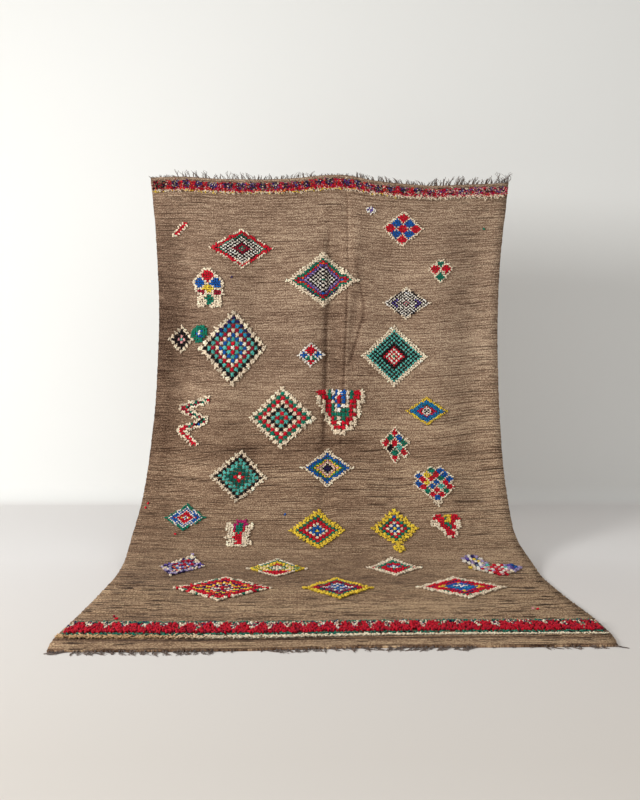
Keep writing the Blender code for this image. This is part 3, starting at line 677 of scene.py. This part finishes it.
def dyed_wool():
    """Dyed yarn: each end's own colour, darkened towards its root as painted shade, with hairs, flecks and a
    matt bloom.
    """
    material, tree, shader = new_material("dyed_wool_yarn", {
        "Roughness": 0.92, "Sheen Weight": 0.08, "Sheen Roughness": 0.5, "Specular IOR Level": 0.12})
    place = add_node(tree, "TexCoord").outputs["Object"]
    wool = add_node(tree, "Group", {"Vector": place, "Fleck Size": 420.0}, node_tree=SPUN_WOOL)
    # The dye attribute carries each end's colour with its painted root shade.
    dye = add_node(tree, "Attribute", attribute_name="dye").outputs["Color"]
    flecked = ranged(tree, wool.outputs["Fleck"], 0.0, 1.0, 0.72, 1.22)
    tree.links.new(mixed(tree, 1.0, dye, flecked, blend_type="MULTIPLY"), shader.inputs["Base Color"])
    tree.links.new(bumped(tree, wool.outputs["Height"], 0.6, 0.0012), shader.inputs["Normal"])
    return material


DYED_WOOL = dyed_wool()


def heading_out(heading):
    return np.column_stack((np.cos(heading), np.sin(heading)))


def dyes_of(letters):
    return np.array([linear(*DYES[letter])[:3] for letter in letters])


def knot_figure(name, knots, pitch, rng, height=KNOT_HEIGHT):
    """Tie the charted knots, each a small puff of cut ends, looser and longer round the rim."""
    ends_a_knot = min(max(round(pitch[0] * pitch[1] / AREA_AN_END), 2), 8)
    places = np.array([knot[:2] for knot in knots])
    places = places + rng.normal(0, 0.045, places.shape) * pitch
    rim = np.array([float(knot[3]) for knot in knots])
    outward = places - places.mean(axis=0)
    outward /= np.maximum(np.linalg.norm(outward, axis=1, keepdims=True), 1e-6)
    order = np.tile(np.arange(ends_a_knot), len(knots))
    knot = np.repeat(np.arange(len(knots)), ends_a_knot)
    count = len(knot)
    spoke = np.sqrt((order + 0.5) / ends_a_knot)
    heading = order * 2.4 + rng.uniform(0, 6.28, len(knots))[knot] + rng.normal(0, 0.15, count)
    fan = spoke[:, None] * heading_out(heading) * pitch
    root = places[knot] + 0.26 * fan
    tip = places[knot] + fan * (0.50 + 0.22 * rim[knot] + rng.normal(0, 0.06, count))[:, None]
    tip += outward[knot] * (rim[knot] * rng.uniform(0.0, 0.35, count))[:, None] * np.mean(pitch)
    tip[:, 1] += rng.uniform(0.0, 0.003, count)
    tall = height * (1 - 0.30 * spoke ** 2) * rng.uniform(0.85, 1.1, count)
    radius = math.sqrt(pitch[0] * pitch[1] / ends_a_knot / math.pi) * rng.uniform(0.95, 1.2, count)
    radius *= 1 + 0.12 * rim[knot]
    dye = dyes_of([letter for _, _, letter, _ in knots])[knot]
    dye = dye * rng.normal(1.0, 0.12, len(knots))[knot, None] * rng.normal(1.0, 0.12, (count, 1))
    return tie_yarn(name, root, tip, tall, radius, dye)


knot_rng = np.random.default_rng(41)
for figure in FIGURES:
    knots, *pitch = charted_knots(figure)
    piece = knot_figure("knots_" + figure[0], knots, np.array(pitch), knot_rng)
    finish_piece(piece, DYED_WOOL, figure[0])


# Top border: a shaggy band of long dark red yarn ends under the plain top strip. Round clusters of
# navy, purple and black ends sit along it, orange and cream ones cross them, and a rim of undyed
# ends hangs in a zigzag below.
TOP_BORDER = (0.012, 0.060)
BORDER_ENDS = 3600
BORDER_REACH = 0.012
CLUSTER_PITCH = 0.055
CLUSTER_SIZE = (0.018, 0.015)
CLUSTER_DOWN = 0.027
PALER_FROM = 0.42
DARK_CORNER = -0.765


def strewn(rng, margin, count):
    return rng.uniform(-RUG_WIDTH / 2 + margin, RUG_WIDTH / 2 - margin, count)


def varied_along(across, scale, seed):
    return patches(across * scale + 30, across * 0, seed)


top_rng = np.random.default_rng(5)
border_root = np.column_stack((strewn(top_rng, 0.008, BORDER_ENDS),
                               top_rng.uniform(TOP_BORDER[0] + 0.003, TOP_BORDER[1] - 0.009, BORDER_ENDS)))
border_heading = math.pi / 2 + top_rng.choice((-0.7, 0.7), BORDER_ENDS)
border_heading += top_rng.normal(0, 0.5, BORDER_ENDS)
border_length = BORDER_REACH * top_rng.uniform(0.4, 1.0, BORDER_ENDS)
border_tip = border_root + heading_out(border_heading) * border_length[:, None]
border_drift = 0.034 * varied_along(border_root[:, 0], 9, 8)
from_cluster = (border_root[:, 0] + border_drift + 5) % CLUSTER_PITCH - CLUSTER_PITCH / 2
in_cluster = (from_cluster / CLUSTER_SIZE[0]) ** 2
in_cluster += ((border_root[:, 1] - CLUSTER_DOWN) / CLUSTER_SIZE[1]) ** 2
cluster_share = 0.5 + 1.1 * varied_along(border_root[:, 0], 17, 10)
border_letters = []
for inside, share, across in zip(in_cluster, cluster_share, border_root[:, 0]):
    mixture = "nkpnnkRpec" if inside < share else "rrrrmrrRorri"
    if across > PALER_FROM and top_rng.random() < 0.35:
        mixture = "irmc"
    if across < DARK_CORNER:
        mixture = "kekRkekr"
    border_letters.append(mixture[top_rng.integers(len(mixture))])
top_border = tie_yarn("top_border_pile", border_root, border_tip,
                      top_rng.uniform(0.008, 0.014, BORDER_ENDS),
                      top_rng.uniform(0.0017, 0.0026, BORDER_ENDS),
                      dyes_of(border_letters) * top_rng.normal(0.92, 0.18, (BORDER_ENDS, 1)))
finish_piece(top_border, DYED_WOOL, "top_border")

CREAM_ENDS = 760
YELLOW_SHARE = 0.30
cream_root = np.column_stack((strewn(top_rng, 0.01, CREAM_ENDS),
                              TOP_BORDER[1] - 0.005 + top_rng.normal(0, 0.003, CREAM_ENDS)))
cream_side = smoothstep((cream_root[:, 0] + 0.1) / 0.6)
cream_heading = math.pi / 2 + top_rng.choice((-0.8, 0.8), CREAM_ENDS)
cream_heading += top_rng.normal(0, 0.3, CREAM_ENDS)
cream_length = top_rng.uniform(0.005, 0.011, CREAM_ENDS) + 0.009 * cream_side
cream_root[:, 1] -= 0.012 * cream_side * top_rng.random(CREAM_ENDS)
cream_tip = cream_root + heading_out(cream_heading) * cream_length[:, None]
cream_letters = ["y" if top_rng.random() < YELLOW_SHARE * (1 - side) else "c" for side in cream_side]
cream_dye = dyes_of(cream_letters) * top_rng.uniform(0.85, 1.15, (CREAM_ENDS, 1))
cream_ends = tie_yarn("top_border_cream_ends", cream_root, cream_tip,
                      top_rng.uniform(0.008, 0.014, CREAM_ENDS), top_rng.uniform(0.0018, 0.0026, CREAM_ENDS),
                      cream_dye)
finish_piece(cream_ends, DYED_WOOL)


# Foot border: a shaggy band of red pile in a row of rounded triangles, with cream, navy, green and
# purple ends in the hollows above them, and a thin broken line of green ends along each side.
FOOT_BORDER = (2.640, 2.762)
FOOT_ENDS = 5600
FOOT_LINE = 0.015
TRIANGLE_PITCH = 0.054
HOLLOW_DEPTH = 0.82
foot_rng = np.random.default_rng(9)
foot_root = np.column_stack((strewn(foot_rng, 0.012, FOOT_ENDS),
                             foot_rng.uniform(*FOOT_BORDER, FOOT_ENDS)))
foot_tip = foot_root + heading_out(foot_rng.uniform(0, 2 * math.pi, FOOT_ENDS)) * 0.004
triangle_drift = 0.022 * varied_along(foot_root[:, 0], 6, 11)
from_peak = np.abs((foot_root[:, 0] + triangle_drift + 5) / TRIANGLE_PITCH % 1.0 - 0.5) * 2
red_band = FOOT_BORDER[1] - FOOT_BORDER[0] - 2 * FOOT_LINE
from_top = (foot_root[:, 1] - FOOT_BORDER[0] - FOOT_LINE) / red_band
hollow = HOLLOW_DEPTH * (0.6 + 0.8 * varied_along(foot_root[:, 0], 14, 12))
foot_letters = []
for place, side, depth in zip(from_top, from_peak, hollow):
    mixture = "rrrrrrR"
    if place < 0 or place > 1:
        mixture = "ggGgGdn" if place < 0 else "ggdGgk"
    elif place < depth * (side ** 1.7 - 0.05):
        mixture = "cnccGrnwRec"
    foot_letters.append(mixture[foot_rng.integers(len(mixture))])
foot_height = np.select((from_top < 0, from_top > 1), (0.008, 0.005), 0.010)
foot_height *= foot_rng.uniform(0.75, 1.1, FOOT_ENDS)
foot_border = tie_yarn("foot_border_pile", foot_root, foot_tip, foot_height,
                       foot_rng.uniform(0.0026, 0.0036, FOOT_ENDS),
                       dyes_of(foot_letters) * foot_rng.normal(0.92, 0.14, (FOOT_ENDS, 1)))
finish_piece(foot_border, DYED_WOOL, "foot_border")


# Foot loops: one loose row of undyed cream ends that lies over towards the foot.
LOOPS_START = 2.770
LOOP_ENDS = 1500
UNDYED = (250, 232, 204)
TANNED = (214, 176, 130)
loop_rng = np.random.default_rng(13)
loop_across = strewn(loop_rng, 0.012, LOOP_ENDS)
narrowing = 1 - 0.7 * smoothstep((loop_across + 0.5) / 1.0)
loop_down = LOOPS_START + 0.004 + loop_rng.uniform(0, 0.022, LOOP_ENDS) * narrowing
loop_root = np.column_stack((loop_across, loop_down))
loop_heading = math.pi / 2 + loop_rng.normal(0, 0.9, LOOP_ENDS)
loop_tip = loop_root + heading_out(loop_heading) * (0.004 + 0.008 * narrowing)[:, None]
tan_share = 1 - smoothstep((loop_root[:, :1] + 0.56) / 0.30)
loop_dye = np.array(linear(*UNDYED)[:3]) * (1 - tan_share) + np.array(linear(*TANNED)[:3]) * tan_share
foot_loops = tie_yarn("foot_cream_loops", loop_root, loop_tip,
                      loop_rng.uniform(0.006, 0.011, LOOP_ENDS) * (0.5 + 0.5 * narrowing),
                      loop_rng.uniform(0.0022, 0.0032, LOOP_ENDS),
                      loop_dye * loop_rng.uniform(0.9, 1.15, (LOOP_ENDS, 1)))
finish_piece(foot_loops, DYED_WOOL, "foot_cream_row")


# Stray knots: a few single tufts of red, blue and green wool that dot the plain ground.
STRAY_KNOTS = (
    # across, down, dye
    (-0.795, 1.475, "r"), (-0.800, 1.500, "r"), (-0.175, 1.535, "b"), (-0.640, 1.655, "r"),
    (0.737, 0.202, "g"), (0.673, 2.509, "r"), (0.660, 2.500, "i"), (-0.690, 2.600, "r"),
    (-0.705, 2.575, "R"), (-0.468, 0.435, "n"),
)
stray = knot_figure("stray_knots", [(*knot, False) for knot in STRAY_KNOTS], np.array((0.010, 0.010)),
                    knot_rng, 0.007)
finish_piece(stray, DYED_WOOL)


# Fringes: the dark brown warp ends beyond the first and last rows, kinked and loosely clumped.
# Those along the top stand up, and those at the foot lie on the floor.
WARP_STEPS = 7
TOP_CLUMPS = (
    # across from, to, clumps, strands each, length, lean
    (-0.825, -0.700, 16, 3, 0.016, -0.9), (-0.700, -0.350, 22, 3, 0.046, -0.3),
    (-0.350, -0.080, 21, 3, 0.034, 0.2), (-0.080, 0.120, 15, 3, 0.014, 0.1),
    (0.120, 0.440, 24, 4, 0.034, -0.3), (0.440, 0.785, 22, 5, 0.050, 0.3),
    (0.785, 0.822, 4, 5, 0.078, 0.1),
)
FOOT_CLUMPS = (
    (-0.822, -0.760, 8, 4, 0.040, -0.5), (-0.760, -0.350, 30, 4, 0.050, 0.3),
    (-0.350, -0.200, 3, 3, 0.020, 0.2), (-0.200, 0.130, 22, 4, 0.044, 0.4),
    (0.150, 0.420, 24, 4, 0.046, -0.5), (0.420, 0.600, 3, 3, 0.014, 0.1),
    (0.600, 0.822, 9, 4, 0.034, 0.6),
)


def warp_ends(name, zones, edge_down, outward, radius, lies_flat, rng):
    """Grow kinked warp ends from one edge as tapered three-sided strands in one joined mesh."""
    points = []
    steps = np.linspace(0, 1, WARP_STEPS)
    for start, end, clumps, strands, length, zone_lean in zones:
        for middle in start + (end - start) * (np.arange(clumps) + rng.uniform(0.1, 0.9, clumps)) / clumps:
            clump_length = length * rng.uniform(0.55, 1.0)
            clump_lean = zone_lean + rng.normal(0, 0.4)
            for _ in range(strands):
                across = middle + rng.normal(0, 0.003)
                across = np.clip(across, -RUG_WIDTH / 2 + 0.003, RUG_WIDTH / 2 - 0.003)
                reach = clump_length * rng.uniform(0.65, 1.0)
                kink = rng.uniform(-0.4, 0.4)
                curl = kink * np.sin(steps * rng.uniform(3, 7)) * steps
                sideways = reach * (clump_lean * steps ** 1.4 + curl)
                beyond = reach * steps * (1 - 0.25 * abs(kink) * steps) / math.hypot(1, clump_lean)
                lift = rng.uniform(-0.001, 0.001) + reach * rng.normal(0, 0.3) * steps ** 1.5
                if lies_flat:
                    lift = -CLOTH_THICKNESS / 2 + radius + rng.uniform(0, 0.005) * (1 - steps) ** 1.5
                route = hang(across + sideways, edge_down + outward * (beyond - 0.002), lift + steps * 0)
                for step, point in zip(steps, route):
                    for turn in (0.3, 2.4, 4.5):
                        size = radius * (1.15 - 0.6 * step)
                        outer = (0, math.sin(turn)) if lies_flat else (math.sin(turn), 0)
                        points.append(point + size * np.array((math.cos(turn), *outer)))
    bm = bmesh.new()
    verts = [bm.verts.new(point) for point in points]
    for first in range(0, len(verts), 3 * WARP_STEPS):
        bm.faces.new(verts[first:first + 3])
        bm.faces.new(verts[first + 3 * WARP_STEPS - 3:first + 3 * WARP_STEPS])
        for ring in range(first, first + 3 * WARP_STEPS - 3, 3):
            for one, other in ((0, 1), (1, 2), (2, 0)):
                corners = (ring + one, ring + other, ring + 3 + other, ring + 3 + one)
                bm.faces.new([verts[corner] for corner in corners])
    bmesh.ops.recalc_face_normals(bm, faces=bm.faces[:])
    return add_piece(bm, name)


def warp_wool():
    """Dark brown spun warp, a little lighter in patches."""
    material, tree, shader = new_material("dark_brown_warp", {"Roughness": 0.9, "Sheen Weight": 0.15})
    place = add_node(tree, "TexCoord").outputs["Object"]
    wool = add_node(tree, "Group", {"Vector": place, "Fleck Size": 90.0}, node_tree=SPUN_WOOL)
    tone = mixed(tree, wool.outputs["Fleck"], linear(50, 38, 33), linear(120, 98, 84))
    tree.links.new(tone, shader.inputs["Base Color"])
    return material


WARP_WOOL = warp_wool()
fringe_rng = np.random.default_rng(23)
top_fringe = warp_ends("top_warp_ends", TOP_CLUMPS, 0.0, -1, 0.0017, False, fringe_rng)
foot_fringe = warp_ends("foot_warp_ends", FOOT_CLUMPS, RUG_LENGTH, 1, 0.0011, True, fringe_rng)
finish_piece(top_fringe, WARP_WOOL, "top_fringe")
finish_piece(foot_fringe, WARP_WOOL, "foot_fringe")


# Studio: a pale floor that runs up into a near-white wall behind the rug, a large soft light
# from the left and the front, and an even fill. The wall's paint is one-sided and a second floor
# lies beyond it, so that the back of the rug shows from there.
WALL_Y = TOP_EDGE_Y + 1.33
WALL_HEIGHT = 6.0
COVE = 0.12


def stage_grid(width, depth, place):
    bm = bmesh.new()
    bmesh.ops.create_grid(bm, x_segments=1, y_segments=1, size=0.5)
    bmesh.ops.scale(bm, verts=bm.verts[:], vec=(width, depth, 1.0))
    bmesh.ops.translate(bm, verts=bm.verts[:], vec=place)
    return bm


bm = stage_grid(14.0, 12.0, (0, WALL_Y - 6.0, 0))
back = [edge for edge in bm.edges if all(vert.co.y > WALL_Y - 0.01 for vert in edge.verts)]
rise = bmesh.ops.extrude_edge_only(bm, edges=back)["geom"]
rise = [item for item in rise if isinstance(item, bmesh.types.BMVert)]
bmesh.ops.translate(bm, verts=rise, vec=(0, 0, WALL_HEIGHT))
corner = [edge for edge in bm.edges
          if all(abs(vert.co.y - WALL_Y) < 0.01 and vert.co.z < 0.01 for vert in edge.verts)]
bmesh.ops.bevel(bm, geom=corner, offset=COVE, segments=8, profile=0.5, affect="EDGES", material=-1)
bm.normal_update()
for face in bm.faces:
    if face.normal.y > 0.5 or face.normal.z < -0.5:
        face.normal_flip()
studio = add_piece(bm, "studio_sweep")
floor_beyond = add_piece(stage_grid(14.0, 10.0, (0, WALL_Y + 4.9, -0.003)), "studio_floor_beyond")
paint, tree, shader = new_material("matt_studio_paint", {"Roughness": 0.9, "Specular IOR Level": 0.1})
place = add_node(tree, "TexCoord").outputs["Object"]
place = add_node(tree, "SeparateXYZ", {0: place}).outputs
# The floor's paint darkens towards the front of the studio as painted shade.
floor_paint_and_shade = mixed(tree, ranged(tree, place["Y"], -1.4, 0.5), linear(213, 207, 200), linear(233, 230, 228))
wall_share = ranged(tree, place["Z"], 0.0, 0.03)
tree.links.new(mixed(tree, wall_share, floor_paint_and_shade, linear(235, 235, 232)), shader.inputs["Base Color"])
facing = add_node(tree, "NewGeometry")
open_side = add_node(tree, "BsdfTransparent")
one_sided = add_node(tree, "MixShader", {
    0: facing.outputs["Backfacing"], 1: shader.outputs["BSDF"], 2: open_side.outputs["BSDF"]})
tree.links.new(one_sided.outputs[0], tree.nodes["Material Output"].inputs["Surface"])
for stage_piece in (studio, floor_beyond):
    stage_piece.data.materials.append(paint)


def soft_light(name, place, aim, size, power, colour):
    lamp = bpy.data.lights.new(name, "AREA")
    lamp.shape = "RECTANGLE"
    lamp.size, lamp.size_y = size
    lamp.energy = power
    lamp.color = colour
    holder = bpy.data.objects.new(name, lamp)
    holder.location = place
    holder.rotation_euler = (Vector(aim) - Vector(place)).to_track_quat("-Z", "Y").to_euler()
    bpy.context.collection.objects.link(holder)


soft_light("key_light", (-4.1, -3.3, 1.90), (0.2, 0.7, 0.9), (1.7, 1.7), 262.0, (0.99, 0.992, 0.985))
soft_light("fill_light", (2.2, -3.6, 2.6), (0.0, 0.6, 0.6), (3.0, 2.4), 24.0, (1.0, 0.98, 0.96))
world = bpy.data.worlds.new("studio_air")
world.use_nodes = True
world.node_tree.nodes["Background"].inputs["Color"].default_value = (1.0, 0.995, 0.985, 1.0)
world.node_tree.nodes["Background"].inputs["Strength"].default_value = 0.495
bpy.context.scene.world = world
bpy.context.scene.view_settings.view_transform = "Standard"


# Camera: level, in front of the rug and a little to its left.
CAMERA_DISTANCE = 3.916
CAMERA_HEIGHT = 0.790
CAMERA_SIDE = -0.044
FRAME_HEIGHT = 800
FOCAL_PIXELS = 850.0
HORIZON_PIXELS = 25.0
SENSOR = 36.0
camera_data = bpy.data.cameras.new("camera")
camera_data.sensor_width = SENSOR
camera_data.lens = FOCAL_PIXELS * SENSOR / FRAME_HEIGHT
camera_data.shift_y = -HORIZON_PIXELS / FRAME_HEIGHT
camera = bpy.data.objects.new("camera", camera_data)
camera.location = (MIDDLE_X + CAMERA_SIDE, TOP_EDGE_Y - CAMERA_DISTANCE, CAMERA_HEIGHT)
camera.rotation_euler = (math.pi / 2, 0, 0)
bpy.context.collection.objects.link(camera)
bpy.context.scene.camera = camera
